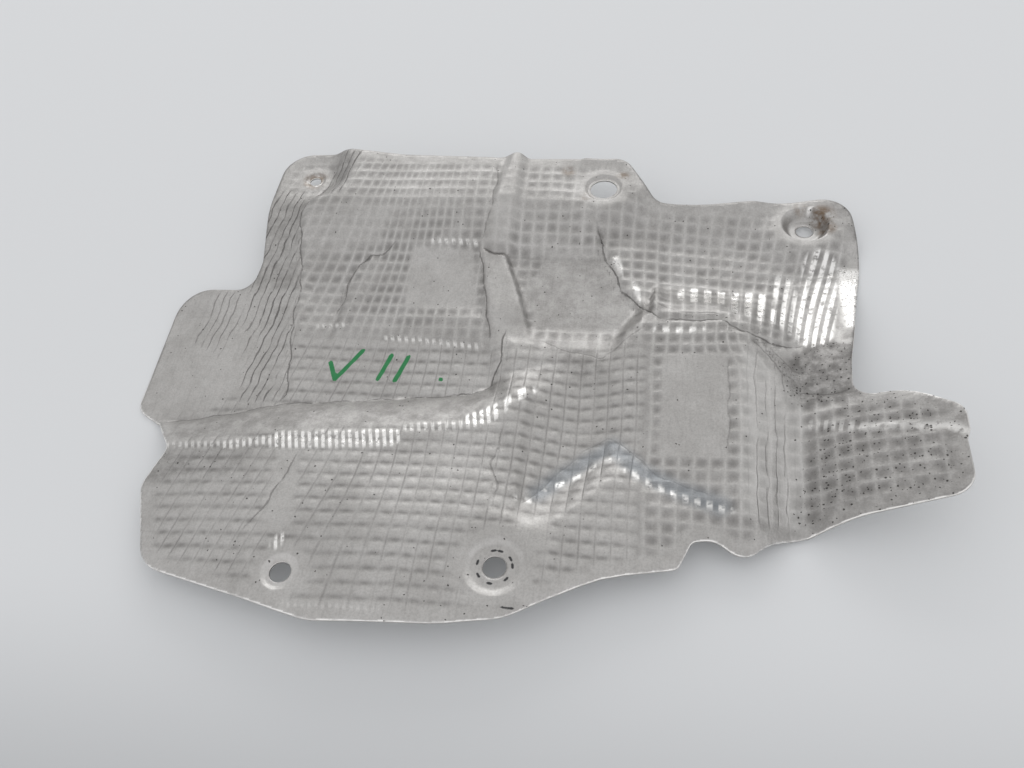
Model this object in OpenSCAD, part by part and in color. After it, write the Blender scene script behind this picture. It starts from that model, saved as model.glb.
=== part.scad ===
// Pressed exhaust heat shield: one sheet of thin aluminium, lying with its raised side up.
// All lengths are in millimetres. The origin lies below the middle of the sheet, level with its lowest point.

/* [Sheet] */
// Length of the sheet, from the end of the left lobe to the tip of the right lobe
sheet_l = 349.5; // [340:0.5:360]
// Width of the sheet, from the bottom edge to the top edge
sheet_w = 256.4; // [250:0.2:262]
// Thickness of the formed sheet
sheet_t = 1; // [0.8:0.1:1.6]
// Height of the whole relief, as a share of the pressed depth
relief = 1; // [0.8:0.05:1.1]
// Spacing of the forming grid along the length
cell_x = 5.6; // [5.6:0.1:7]
// Spacing of the forming grid between the central rib's edges
cell_rib = 3.8; // [3.8:0.1:5]
// Spacing of the forming grid across the width
cell_y = 4.9; // [4.9:0.1:6]

/* [Stiffening ribs] */
// Height of the rib that crosses the top edge
rib_h = 3; // [1:0.5:5]
// Height of the bar between the two smooth pockets
bar_h = 4; // [1:0.5:5]
// Height of the spine below the bar
spine_h = 1; // [0:0.5:4]
// Depth of the hollow beside the curved step
dip_h = 3; // [0:0.5:4]
// Depth of the smooth pocket left of the bar
pocket_h = 1.5; // [0:0.5:3]

/* [Bolt holes] */
// Diameter of the hole in the top left corner
corner_hole_d = 6; // [5:0.1:7]
// Diameter of the large hole at the middle of the top edge
top_hole_d = 13; // [11:0.1:14]
// Diameter of the hole in the deep dish of the top right corner
dish_hole_d = 8; // [6:0.1:9]
// Diameter of the hole beside the bottom left edge
left_hole_d = 8.6; // [7:0.1:10]
// Diameter of the hole at the middle of the bottom edge
bottom_hole_d = 9; // [7:0.1:11]

/* [Bolt seats] */
// Depth of the seat in the top left corner
corner_seat_h = 0.8; // [0.4:0.1:1.5]
// Depth of the seat of the large hole
top_seat_h = 1; // [0.4:0.1:1.5]
// Depth of the conical dish
dish_h = 5; // [3:0.5:6]
// Depth of the seat beside the bottom left edge
left_seat_h = 0.8; // [0.4:0.1:1.5]
// Depth of the seat at the middle of the bottom edge
bottom_seat_h = 1.5; // [0.6:0.1:2]

/* [Hidden] */
$fn = 64;
sheet_color = [0.66, 0.65, 0.64];
big = 400;
// Depth and reach of a seat's rim inside the sheet
skin = 0.04;
rim_hold = 0.5;

// Each seat: centre x and y on the drawing, level of its rim, depth, floor radius, rim radius, hole radius
seats = [
  [-119, 120, 15, corner_seat_h, 6.2, 8.2, corner_hole_d / 2],
  [32, 111, 19.5, top_seat_h, 9, 11.5, top_hole_d / 2],
  [128, 100, 7.5, dish_h, 8.5, 14, dish_hole_d / 2],
  [-76, -99, 14.2, left_seat_h, 8, 10, left_hole_d / 2],
  [6, -91, 15.8, bottom_seat_h, 12, 14.5, bottom_hole_d / 2]
];
// Width of the level ring around a seat, and of the slope that leads off it
seat_land = 7.5;
seat_blend = 9;

// Corners of the drawn outline, clockwise from the top left: x, y and the radius of the corner
outline = [
  [-137.5, 139, 25], [-106, 138.5, 2], [-103, 137.5, 2], [-72, 132.5, 40], [-23, 130.6, 2], [-18.5, 132, 2],
  [-11, 132, 2], [-7, 130.5, 2], [42, 130.5, 11], [57.5, 105.2, 8], [80, 106.5, 60], [147.5, 119, 15],
  [152, 86, 60], [151, 72, 40], [140.5, 12, 40], [139.5, -7.5, 11], [158, -6.5, 25], [176.8, -18.5, 8],
  [177, -29, 3], [175.6, -33, 4], [176.4, -54.5, 9], [133, -61, 60], [110, -67.5, 30], [97, -78.5, 8],
  [86, -71.5, 8], [78, -73, 4], [73, -85, 4], [45, -91.5, 60], [12, -111, 30], [-12, -115.2, 50],
  [-60, -117.8, 20], [-136, -98.5, 17], [-150.5, -62, 12], [-145, -43, 5], [-156.5, -28, 3],
  [-171.5, -19.5, 9], [-172.8, 50.5, 18], [-136, 50, 9], [-133.5, 66, 20], [-138.2, 96, 60]
];

// South to north sections of the sheet: y against height
section_west = [[-30, 0.4], [0, 0.6], [34, 1.6], [50, 5.5], [74, 9.5], [104, 14], [140, 15]];
section_left = [
  [-30, 1.5], [-9, 2], [5, 2.8], [19, 4], [22.5, 5.3], [46, 8], [72, 12.2], [76.5, 14.5], [100, 20.8], [140, 22]
];
section_middle = [
  [-45, 4.6], [-5, 5.5], [12, 8], [20, 8], [31, 6], [50, 6.6], [74.5, 8.6], [78.5, 13], [102, 19.8], [140, 21]
];
section_flange = [[40, 0], [64, 0], [84, 1.4], [108, 8.8], [140, 14]];

// Lines that the folds follow, seen from above: x against y
strip_foot = [[-175, -27], [-140, -23], [-102, -13], [-50, -8], [-19, -4], [-8, 2], [14, 10]];
strip_crest = [[-175, -44], [-147, -42], [-103, -39], [-72, -37], [-40, -33], [-12, -28], [-2, -22], [12, -8]];
ridge_foot = [[58, 60], [66, 61], [98, 61], [116, 70], [134, 75], [180, 78]];
ridge_crest = [[58, 42], [66, 34], [88, 32], [98, 25], [109, 20], [122, 10], [139, -2], [180, -2]];

// Lines that part the fields, seen from above: y against x
west_fold = [[-30, -106], [-13, -104], [11, -106], [34, -110], [51, -110], [74, -115], [104, -123], [140, -127]];
flange_wall = [[24, 66], [31, 62], [38, 57], [47, 50], [55, 44], [67, 39], [88, 31], [104, 22], [140, 20]];
curved_step = [[30, -88], [46, -87], [56, -86.5], [63, -84], [68, -79], [71, -73], [77, -67]];
middle_edge = [[-30, 4], [2, -8], [11, -10], [40, -14], [74, -22], [140, -22]];

// Rise of the left lobe from its free end
west_end = -172;
west_lean = 0.03;
// Level of the pad at its reference line, and its lean along the length and the width
pad_line = 90;
pad_level = 14.5;
pad_lean = [0.085, 0.07];
// The band falls from its start to the valley, and the lobe climbs from there
band_start = 98;
band_fall = 0.34;
valley = 121;
valley_rise = 0.6;
// The right lobe rises towards the bottom edge, from its root on
lobe_root = 128;
lobe_blend = 30;
lobe_rise = 0.13;
lobe_reach = 70;
// The band leans towards the bottom edge, from its root on
band_lean = 0.08;
band_root = [108, -12];
band_blend = 16;
// The hollow beside the curved step lies between these lines and fades in and out
dip_south = 24;
dip_north = 86;
dip_fade = [20, 40];

// Heights along the length: x against height
flange_level = [[40, 9.5], [58, 7.5], [66, 5.8], [79, 4.6], [98, 3.1], [116, 1.4], [134, 0.4], [151, 0], [180, 0]];
plateau_level = [
  [-175, 6.5], [-147, 7.6], [-120, 9.4], [-95, 11], [-60, 12.2], [0, 12.2], [45, 12.6], [90, 10.6], [125, 3]
];
plateau_crown = [[-150, 0], [-90, 2.2], [-40, 4], [8, 3.6], [45, 0.6], [90, -1.5]];

// Raised and sunk areas, as corners of a convex field listed counterclockwise
rib = [[-24, 76], [-9, 76], [-6, 95], [-5, 150], [-20, 150], [-21, 90]];
bar = [[-13, 20], [9, 20], [-2, 48], [-10, 74], [-25, 74], [-17, 40]];
spine = [[3, -66], [10, -66], [9, -10], [9, 22], [-10, 22], [-8, 4], [0, -24]];
pocket = [[-52, 40], [-19, 40], [-26, 75], [-56, 75]];
tent = [[9, -71], [12, -140], [110, -140], [110, -73], [46, -34]];

// Rises smoothly from 0 to 1 as t runs from 0 to 1
function ease(t) = let (u = max(0, min(1, t))) u * u * (3 - 2 * u);

// Rises from 0 to 1 over the width w, halfway up where d is 0
function across(d, w) = ease(d / w + 0.5);

// Distance from the edge of a convex field, positive inside it
function depth_in(x, y, field) = min([
  for (i = [0:len(field) - 1])
    let (a = field[i], b = field[(i + 1) % len(field)])
      ((b[0] - a[0]) * (y - a[1]) - (b[1] - a[1]) * (x - a[0])) / norm(b - a)
]);

// Left and middle fields, with the hollow beside the curved step and the pocket
function hollow(x, y) =
  dip_h * across(lookup(y, curved_step) - x, 3) * across(x - lookup(y, west_fold) - 3, 6)
  * ease((y - dip_south) / dip_fade[0]) * ease((dip_north - y) / dip_fade[1]);
function upper_field(x, y) =
  let (
    west = lookup(y, section_west) + west_lean * (x - west_end),
    left = lookup(y, section_left) - hollow(x, y) - pocket_h * across(depth_in(x, y, pocket), 4),
    middle = lookup(y, section_middle),
    m = across(x - lookup(y, west_fold) + 5, 14),
    n = across(x - lookup(y, middle_edge), 10)
  )
    (west * (1 - m) + left * m) * (1 - n) + middle * n;

// Top right flange, low in front of the ridge
function flange_field(x, y) = lookup(x, flange_level) + lookup(y, section_flange);

// Pad, the band beside it and the right lobe
function pad_field(x, y) =
  let (
    pad = pad_level + pad_lean[0] * (x - pad_line) + pad_lean[1] * y,
    band = valley_rise * max(0, x - valley) - band_fall * max(0, x - band_start),
    lobe = lobe_rise * max(0, min(-y, lobe_reach)) * across(x - lobe_root, lobe_blend)
  )
    pad + band + lobe + band_lean * min(0, y - band_root[1]) * across(x - band_root[0], band_blend);

// Lower plateau, crowned between its two ends
function plateau_field(x, y) = lookup(x, plateau_level) + lookup(x, plateau_crown) * ease((-35 - y) / 45);

// Share of the raised lower plateau at a point
function plateau_share(x, y) =
  let (
    foot = lookup(x, strip_foot),
    strip = ease((foot - y) / (foot - lookup(x, strip_crest)))
  )
    max(strip * across(14 - x, 14), across(depth_in(x, y, tent), 9));

// Share of the pad at a point
function pad_share(x, y) =
  let (foot = lookup(x, ridge_foot))
    x > 58 ? ease((foot - y) / (foot - lookup(x, ridge_crest)))
    : across(x - 38, 22) * across(lookup(x, [[0, 30], [37, 13], [58, 51]]) - y, 6);

// Height of the sheet before the bolt seats are levelled
function pressed(x, y) =
  let (
    e = across(x - lookup(y, flange_wall), 4),
    p = pad_share(x, y),
    l = plateau_share(x, y),
    north = upper_field(x, y) * (1 - e) + flange_field(x, y) * e,
    south = north * (1 - p) + pad_field(x, y) * p
  )
    south * (1 - l) + plateau_field(x, y) * l
    + rib_h * across(depth_in(x, y, rib), 4)
    + bar_h * across(depth_in(x, y, bar), 4)
    + spine_h * across(depth_in(x, y, spine), 5);

// Height of the sheet's underside, level around each bolt seat
function level_off(x, y, z, i) =
  i == len(seats) ? z
  : let (
      s = seats[i],
      c = seat_place(s),
      share = ease((s[5] + seat_land + seat_blend - norm([x - c[0], y - c[1]])) / seat_blend)
    )
      level_off(x, y, z * (1 - share) + s[2] * share, i + 1);
function height(x, y) = relief * level_off(x, y, pressed(x / stretch[0], y / stretch[1]), 0);

// Upright thickness that keeps the sheet's thickness square to its slope
function upright(x, y) =
  let (
    d = 1,
    gx = (height(x + d, y) - height(x - d, y)) / (2 * d),
    gy = (height(x, y + d) - height(x, y - d)) / (2 * d)
  )
    sheet_t * sqrt(1 + min(1, gx * gx + gy * gy));

// Corner points of a rounded outline
function rounded(corners) = [
  for (i = [0:len(corners) - 1])
    let (
      n = len(corners),
      c = corners[i],
      p = [c[0], c[1]],
      before = corners[(i + n - 1) % n],
      after = corners[(i + 1) % n],
      u = [before[0], before[1]] - p,
      v = [after[0], after[1]] - p,
      a = u / norm(u),
      b = v / norm(v),
      half = acos(max(-1, min(1, a * b))) / 2,
      reach = min(c[2] / tan(half), 0.48 * norm(u), 0.48 * norm(v)),
      r = reach * tan(half),
      centre = p + (a + b) / norm(a + b) * r / sin(half),
      start = p + a * reach - centre,
      end = p + b * reach - centre,
      from = atan2(start[1], start[0]),
      turn = sign(start[0] * end[1] - start[1] * end[0]) * (180 - 2 * half),
      steps = max(1, ceil(abs(turn) / 9))
    )
      for (k = [0:steps])
        centre + r * [cos(from + turn * k / steps), sin(from + turn * k / steps)]
];

// Middle of a flat shape's box, and the box's length and width
function box_middle(points) = [
  for (k = [0:1]) (min([for (p = points) p[k]]) + max([for (p = points) p[k]])) / 2
];
function box_size(points) = [for (k = [0:1]) max([for (p = points) p[k]]) - min([for (p = points) p[k]])];

// The drawing is stretched to the sheet's length and width, and the holes, seats and rounds keep their size
drawn = box_size(rounded(outline));
stretch = [sheet_l / drawn[0], sheet_w / drawn[1]];
function seat_place(s) = [s[0] * stretch[0], s[1] * stretch[1]];
corners = [for (c = outline) [c[0] * stretch[0], c[1] * stretch[1], c[2]]];

// Edge of the sheet seen from above, the middle of its box and the level of its lowest point
edge = rounded(corners);
middle = box_middle(edge);
foot = min([for (p = edge) height(p[0], p[1])]);

// Grid lines of the forming grid
grid_x = concat(
  [for (x = -178; x < -30; x = x + cell_x) x * stretch[0]],
  [for (x = -30; x < 14; x = x + cell_rib) x * stretch[0]],
  [for (x = 14; x < 184; x = x + cell_x) x * stretch[0]]
);
grid_y = [for (y = -122; y < 143; y = y + cell_y) y * stretch[1]];

// Distance from a point to a straight piece of the outline
function off_line(p, a, b) =
  let (t = max(0, min(1, (p - a) * (b - a) / ((b - a) * (b - a)))))
    norm(p - a - t * (b - a));

// True for a point inside the outline's corners
function inside(p, corners) = len([
  for (i = [0:len(corners) - 1])
    let (a = corners[i], b = corners[(i + 1) % len(corners)])
      if ((a[1] > p[1]) != (b[1] > p[1]) && p[0] < a[0] + (b[0] - a[0]) * (p[1] - a[1]) / (b[1] - a[1])) 1
]) % 2 == 1;

// Marks the grid cells that the sheet needs
mask = [
  for (j = [0:len(grid_y) - 2])
    [
      for (i = [0:len(grid_x) - 2])
        let (
          low = [grid_x[i], grid_y[j]],
          high = [grid_x[i + 1], grid_y[j + 1]],
          p = (low + high) / 2,
          near = norm(high - low) / 2
        )
          inside(p, corners)
          || min([
            for (k = [0:len(corners) - 1])
              let (a = corners[k], b = corners[(k + 1) % len(corners)])
                off_line(p, [a[0], a[1]], [b[0], b[1]])
          ]) < near
    ]
];
function used(i, j) = i >= 0 && j >= 0 && i < len(grid_x) - 1 && j < len(grid_y) - 1 && mask[j][i];

module pressed_sheet() {
  nx = len(grid_x);
  ny = len(grid_y);
  n = nx * ny;
  under = [for (j = [0:ny - 1]) for (i = [0:nx - 1]) [grid_x[i], grid_y[j], height(grid_x[i], grid_y[j])]];
  over = [for (p = under) [p[0], p[1], p[2] + upright(p[0], p[1])]];
  cells = [for (j = [0:ny - 2]) for (i = [0:nx - 2]) if (used(i, j)) [i, j]];
  lower = [
    for (c = cells)
      let (k = c[1] * nx + c[0])
        each (norm(under[k] - under[k + nx + 1]) < norm(under[k + 1] - under[k + nx])
          ? [[k, k + 1, k + nx + 1], [k, k + nx + 1, k + nx]]
          : [[k, k + 1, k + nx], [k + 1, k + nx + 1, k + nx]])
  ];
  upper = [for (f = lower) [n + f[2], n + f[1], n + f[0]]];
  sides = [
    for (c = cells)
      let (k = c[1] * nx + c[0])
        each concat(
          used(c[0], c[1] - 1) ? [] : [[k, n + k, n + k + 1], [k, n + k + 1, k + 1]],
          used(c[0], c[1] + 1) ? [] : [[k + nx + 1, n + k + nx + 1, n + k + nx], [k + nx + 1, n + k + nx, k + nx]],
          used(c[0] - 1, c[1]) ? [] : [[k + nx, n + k + nx, n + k], [k + nx, n + k, k]],
          used(c[0] + 1, c[1]) ? [] : [[k + 1, n + k + 1, n + k + nx + 1], [k + 1, n + k + nx + 1, k + nx + 1]]
        )
  ];
  polyhedron(points = concat(under, over), faces = concat(lower, upper, sides));
}

// Section of a seat: a rim held inside the sheet's thickness, a slope and a flat floor
module seat_section(depth, floor_r, rim_r, hole_r) {
  lean = sheet_t * tan(atan2(depth, rim_r - floor_r) / 2);
  polygon([
    [hole_r, -depth], [floor_r, -depth], [rim_r, skin], [rim_r + rim_hold, skin],
    [rim_r + rim_hold, sheet_t - skin], [rim_r - lean, sheet_t - skin], [floor_r - lean, sheet_t - depth],
    [hole_r, sheet_t - depth]
  ]);
}

module heat_shield() {
  color(sheet_color)
    translate([-middle[0], -middle[1], -foot]) {
      difference() {
        intersection() {
          pressed_sheet();
          translate([0, 0, -big / 2])
            linear_extrude(big) polygon(edge);
        }
        for (s = seats)
          translate([each seat_place(s), -big / 2])
            cylinder(h = big, r = s[5]);
      }
      for (s = seats)
        translate([each seat_place(s), relief * s[2]])
          rotate_extrude() seat_section(s[3], s[4], s[5], s[6]);
    }
}

heat_shield();
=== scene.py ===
# %% [markdown]
# A pressed heat shield from a car's exhaust, lying on a pale table.
# The real part is one sheet of thin aluminium. Rollers first press a grid of small dimples into it,
# so that it can stretch, and a die then folds it. This lesson follows the same order: a flat sheet
# is cut to its outline, folded, dimpled and creased, and then given its thickness and its worn finish.

# %% Tools and the frame
import math

import bmesh
import bpy
import numpy as np
from mathutils import Matrix, Vector


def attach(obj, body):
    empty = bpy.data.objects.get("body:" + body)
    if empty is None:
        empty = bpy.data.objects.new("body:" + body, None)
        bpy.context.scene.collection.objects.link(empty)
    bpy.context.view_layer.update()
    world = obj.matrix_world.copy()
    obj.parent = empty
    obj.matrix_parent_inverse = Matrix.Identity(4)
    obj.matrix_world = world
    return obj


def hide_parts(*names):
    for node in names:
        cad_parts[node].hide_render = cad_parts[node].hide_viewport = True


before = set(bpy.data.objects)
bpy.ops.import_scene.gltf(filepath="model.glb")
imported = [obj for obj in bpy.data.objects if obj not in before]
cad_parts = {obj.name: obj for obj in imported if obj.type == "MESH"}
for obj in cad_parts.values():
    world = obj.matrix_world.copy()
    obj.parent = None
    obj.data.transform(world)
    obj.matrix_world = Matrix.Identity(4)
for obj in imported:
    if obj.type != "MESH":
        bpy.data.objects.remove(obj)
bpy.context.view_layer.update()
MM = 0.001
print("solids in the frame:", len(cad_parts))

# %% [markdown]
# Two small functions do most of the folding. `ease` climbs smoothly from 0 to 1, as metal drawn over
# a rounded die does, and `along` reads a height or a place off a chain of points. It averages over a
# short stretch, which rounds the chain's corners, so no fold has a kink that the real one lacks.


# %% Helpers for smooth folds
def ease(t):
    """Climbs smoothly from 0 to 1 as t goes from 0 to 1."""
    u = np.clip(t, 0, 1)
    return u * u * (3 - 2 * u)


def across(d, width):
    """Climbs from 0 to 1 over a width, halfway up where d is 0."""
    return ease(d / width + 0.5)


def along(x, chain, soft=2.0):
    """Value of a chain of points at x, with its corners rounded over a few millimetres."""
    places, values = zip(*chain)
    taps = [-1.5, -0.75, 0, 0.75, 1.5]
    return sum(np.interp(x + tap * soft, places, values) for tap in taps) / len(taps)


def depth_in(x, y, field):
    """Distance from the edge of a convex field, positive inside it."""
    depth = np.full(np.shape(x), np.inf)
    for (ax, ay), (bx, by) in zip(field, field[1:] + field[:1]):
        side = ((bx - ax) * (y - ay) - (by - ay) * (x - ax)) / math.hypot(bx - ax, by - ay)
        depth = np.minimum(depth, side)
    return depth


# %% [markdown]
# The outline is a chain of corners, each with the radius of its round. It is the trimming die's line,
# seen from above, in millimetres. Every corner is an arc, because thin sheet tears from a sharp one.

# %% The outline, clockwise from the top left: x, y and corner radius
OUTLINE = [
    (-137.5, 139, 25), (-106, 138.5, 2), (-103, 137.5, 2), (-72, 132.5, 40), (-23, 130.6, 2), (-18.5, 132, 2),
    (-11, 132, 2), (-7, 130.5, 2), (42, 130.5, 11), (57.5, 105.2, 8), (80, 106.5, 60), (147.5, 119, 15),
    (152, 86, 60), (151, 72, 40), (140.5, 12, 40), (139.5, -7.5, 11), (158, -6.5, 25), (176.8, -18.5, 8),
    (177, -29, 3), (175.6, -33, 4), (176.4, -54.5, 9), (133, -61, 60), (110, -67.5, 30), (97, -78.5, 8),
    (86, -71.5, 8), (78, -73, 4), (73, -85, 4), (45, -91.5, 60), (12, -111, 30), (-12, -115.2, 50),
    (-60, -117.8, 20), (-136, -98.5, 17), (-150.5, -62, 12), (-145, -43, 5), (-156.5, -28, 3),
    (-171.5, -19.5, 9), (-172.8, 50.5, 18), (-136, 50, 9), (-133.5, 66, 20), (-138.2, 96, 60),
]


ARC_STEP = 9
SIDE_SHARE = 0.48


def rounded(corners):
    """Points of an outline whose corners are arcs, each with a point every few degrees."""
    points = []
    for i, (x, y, radius) in enumerate(corners):
        corner = np.array([x, y], float)
        before = np.array(corners[i - 1][:2]) - corner
        after = np.array(corners[(i + 1) % len(corners)][:2]) - corner
        before_l, after_l = np.linalg.norm(before), np.linalg.norm(after)
        a, b = before / before_l, after / after_l
        half = math.acos(np.clip(a @ b, -1, 1)) / 2
        reach = min(radius / math.tan(half), SIDE_SHARE * before_l, SIDE_SHARE * after_l)
        r = reach * math.tan(half)
        centre = corner + (a + b) / np.linalg.norm(a + b) * r / math.sin(half)
        start, end = corner + a * reach - centre, corner + b * reach - centre
        first = math.degrees(math.atan2(start[1], start[0]))
        turn = (math.degrees(math.atan2(end[1], end[0])) - first + 540) % 360 - 180
        steps = max(1, math.ceil(abs(turn) / ARC_STEP))
        for k in range(steps + 1):
            angle = math.radians(first + turn * k / steps)
            points.append(centre + r * np.array([math.cos(angle), math.sin(angle)]))
    return np.array(points)


edge = rounded(OUTLINE)
middle = (edge.min(0) + edge.max(0)) / 2
print("outline points:", len(edge), "middle of its box:", middle.round(2))

# %% [markdown]
# Each bolt hole sits in a level seat that the press sinks into the sheet, so that a washer lies flat.
# A seat is its centre, its level, its depth, and the radii of its floor, its rim and its hole.

# %% Bolt seats: x, y, level, depth, floor radius, rim radius, hole radius
SEATS = {
    "corner": (-119, 120, 15, 0.8, 4.3, 5.7, 3.0),
    "top": (32, 111, 19.5, 1.0, 7.6, 9.2, 6.5),
    "dish": (128, 100, 7.5, 5.0, 7.4, 11.2, 4.0),
    "left": (-76, -99, 14.2, 0.8, 5.8, 7.8, 4.3),
    "bottom": (6, -91, 15.8, 1.5, 9.0, 12.2, 4.5),
}
SEAT_LAND = 3.0
SEAT_BLEND = 14.0
SHEET_T = 1.0

# %% [markdown]
# The folds are read from a few chains. Some give a height against a place, such as the section of the
# sheet from south to north, and others give the line that a fold follows when seen from above.

# %% Sections, levels and fold lines
# Sections: each pair is y and the height there
SECTION_WEST = [(-30, 0.4), (0, 0.6), (34, 1.6), (50, 5.5), (74, 9.5), (104, 14), (140, 15)]
SECTION_LEFT = [
    (-30, 1.5), (-9, 2), (5, 2.8), (19, 4), (22.5, 5.3), (46, 8), (72, 12.2), (76.5, 14.5), (100, 20.8),
    (140, 22),
]
SECTION_MIDDLE = [
    (-45, 4.6), (-5, 5.5), (12, 8), (20, 8), (31, 6), (50, 6.6), (74.5, 8.6), (78.5, 13), (102, 19.8),
    (140, 21),
]
SECTION_FLANGE = [(40, 0), (64, 0), (84, 1.4), (108, 8.8), (140, 14)]
# Fold lines that run from west to east: each pair is x and y
STRIP_FOOT = [(-175, -27), (-140, -23), (-102, -13), (-50, -8), (-19, -4), (-8, 2), (14, 10)]
STRIP_CREST = [
    (-175, -44), (-147, -42), (-103, -39), (-72, -37), (-40, -33), (-12, -28), (-2, -22), (12, -8),
]
RIDGE_FOOT = [(58, 60), (66, 61), (98, 61), (116, 70), (134, 75), (180, 78)]
RIDGE_CREST = [(58, 42), (66, 34), (88, 32), (98, 25), (109, 20), (122, 10), (139, -2), (180, -2)]
PAD_CORNER = [(0, 30), (37, 13), (58, 46)]
# Fold lines that run from south to north: each pair is y and x
WEST_FOLD = [
    (-30, -106), (-13, -104), (11, -106), (34, -110), (51, -110), (74, -114), (100, -113), (140, -101),
]
FLANGE_WALL = [(24, 66), (31, 62), (38, 57), (47, 50), (55, 44), (67, 39), (88, 31), (104, 22), (140, 20)]
CURVED_STEP = [(30, -88), (46, -87), (56, -86.5), (63, -84), (68, -79), (71, -73), (77, -67)]
MIDDLE_EDGE = [(-30, 4), (2, -8), (11, -10), (40, -14), (74, -22), (140, -22)]
# Levels: each pair is x and the height there
FLANGE_LEVEL = [
    (40, 9.5), (58, 7.5), (66, 5.8), (79, 4.6), (98, 3.1), (116, 1.4), (134, 0.4), (151, 0), (180, 0),
]
PLATEAU_LEVEL = [
    (-175, 6.5), (-147, 7.6), (-120, 9.4), (-95, 11), (-60, 12.2), (0, 12.2), (45, 12.6), (90, 10.6),
    (125, 3),
]
PLATEAU_CROWN = [(-150, 0), (-90, 2.2), (-40, 4), (8, 3.6), (45, 0.6), (90, -1.5)]
print("rise of the left section in mm:", SECTION_LEFT[-1][1] - SECTION_LEFT[0][1])

# %% Raised and sunk fields, counterclockwise, and what stands or sinks there
RIB = [(-25, 76), (-10, 76), (-8, 95), (-9, 150), (-24, 150), (-23, 90)]
BAR = [(-13, 20), (9, 20), (-2, 48), (-10, 74), (-25, 74), (-17, 40)]
SPINE = [(3, -66), (10, -66), (9, -10), (9, 22), (-10, 22), (-8, 4), (0, -24)]
POCKET = [(-52, 40), (-19, 40), (-26, 75), (-56, 75)]
TENT = [(9, -71), (12, -140), (110, -140), (110, -73), (46, -34)]
RIB_H, BAR_H, SPINE_H = 3.0, 3.2, 1.0
HOLLOW_DEPTH, POCKET_DEPTH = 2.2, 1.0
HOLLOW_SOUTH, HOLLOW_NORTH = 8, 86
WEST_TILT = 0.03
PAD_LEVEL, PAD_TILT_X, PAD_TILT_Y = 14.5, 0.085, 0.07
BAND_WEST, BAND_EAST = 98, 121
BAND_FALL, BAND_RISE = -0.34, 0.6
LOBE_RISE, LOBE_REACH = 0.13, 70
FRONT_FALL = 0.08
STRIP_BULGE = 1.9
RIDGE_WEST = 58
print("rib, bar and spine stand", RIB_H, BAR_H, SPINE_H, "mm over the sheet")

# %% [markdown]
# The whole form is one height for each place, so that neighbouring fields run into each other as one sheet
# does. A function gives each field's height, or the share that a step has in the height at a place.
# `pressed` joins the fields from north to south and adds the ribs last, and `folded` makes the seats level.


# %% The folded form of the sheet's underside
def upper_height(x, y):
    """Left and middle fields, with the hollow beside the curved step and the smooth pocket."""
    fold = along(y, WEST_FOLD)
    west = along(y, SECTION_WEST) + WEST_TILT * (x + 172)
    hollow = HOLLOW_DEPTH * across(along(y, CURVED_STEP, 1) - x, 3) * across(x - fold - 3, 6)
    hollow = hollow * ease((y - HOLLOW_SOUTH) / 44) * ease((HOLLOW_NORTH - y) / 40)
    left = along(y, SECTION_LEFT, 3) - hollow - POCKET_DEPTH * across(depth_in(x, y, POCKET), 9)
    blend_w = across(x - fold + 5, 14)
    blend_m = across(x - along(y, MIDDLE_EDGE), 10)
    return (west * (1 - blend_w) + left * blend_w) * (1 - blend_m) + along(y, SECTION_MIDDLE, 1) * blend_m


def pad_height(x, y):
    """Pad, the band beside it and the right lobe."""
    pad = PAD_LEVEL + PAD_TILT_X * (x - 90) + PAD_TILT_Y * y
    band = BAND_FALL * np.maximum(0, x - BAND_WEST) + BAND_RISE * np.maximum(0, x - BAND_EAST)
    lobe = LOBE_RISE * np.clip(-y, 0, LOBE_REACH) * across(x - 128, 30)
    front = FRONT_FALL * np.minimum(0, y + 12) * across(x - 108, 16)
    return pad + band + lobe + front


def strip_share(x, y):
    """Share of the long step that lifts the lower plateau."""
    foot, crest = along(x, STRIP_FOOT), along(x, STRIP_CREST)
    rise = 1 - (1 - np.clip((foot - y) / (foot - crest), 0, 1)) ** STRIP_BULGE
    return rise * across(18 - x, 38)


def ridge_share(x, y):
    """Share of the pad, which rises from the flange in a long bright slope."""
    foot, crest = along(x, RIDGE_FOOT), along(x, RIDGE_CREST)
    slope = ease((foot - y) / (foot - crest))
    corner = across(x - 38, 26) * across(along(x, PAD_CORNER, 4) - y, 22)
    return np.where(x > RIDGE_WEST, slope, corner)


def pressed(x, y):
    """Height of the pressed sheet before its seats are levelled."""
    flange = along(x, FLANGE_LEVEL) + along(y, SECTION_FLANGE)
    east = across(x - along(y, FLANGE_WALL, 1), 4)
    north = upper_height(x, y) * (1 - east) + flange * east
    on_pad = ridge_share(x, y)
    south = north * (1 - on_pad) + pad_height(x, y) * on_pad
    plateau = along(x, PLATEAU_LEVEL, 4) + along(x, PLATEAU_CROWN, 4) * ease((-35 - y) / 45)
    low = 1 - (1 - strip_share(x, y)) * (1 - across(depth_in(x, y, TENT) - 3, 20))
    bar = BAR_H * across(depth_in(x, y, BAR), 4) * ease((y - 16) / 26)
    ribs = RIB_H * across(depth_in(x, y, RIB) - 0.5, 7) + bar
    return south * (1 - low) + plateau * low + ribs + SPINE_H * across(depth_in(x, y, SPINE), 5)


def folded(x, y):
    """Height of the folded sheet, level around each bolt seat and sunk inside it."""
    z = pressed(x, y)
    for cx, cy, level, depth, floor_r, rim_r, _ in SEATS.values():
        r = np.hypot(x - cx, y - cy)
        share = ease((rim_r + SEAT_LAND + SEAT_BLEND - r) / SEAT_BLEND)
        z = z * (1 - share) + level * share
        z = z - depth * np.clip((rim_r - r) / (rim_r - floor_r), 0, 1)
    return z


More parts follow.
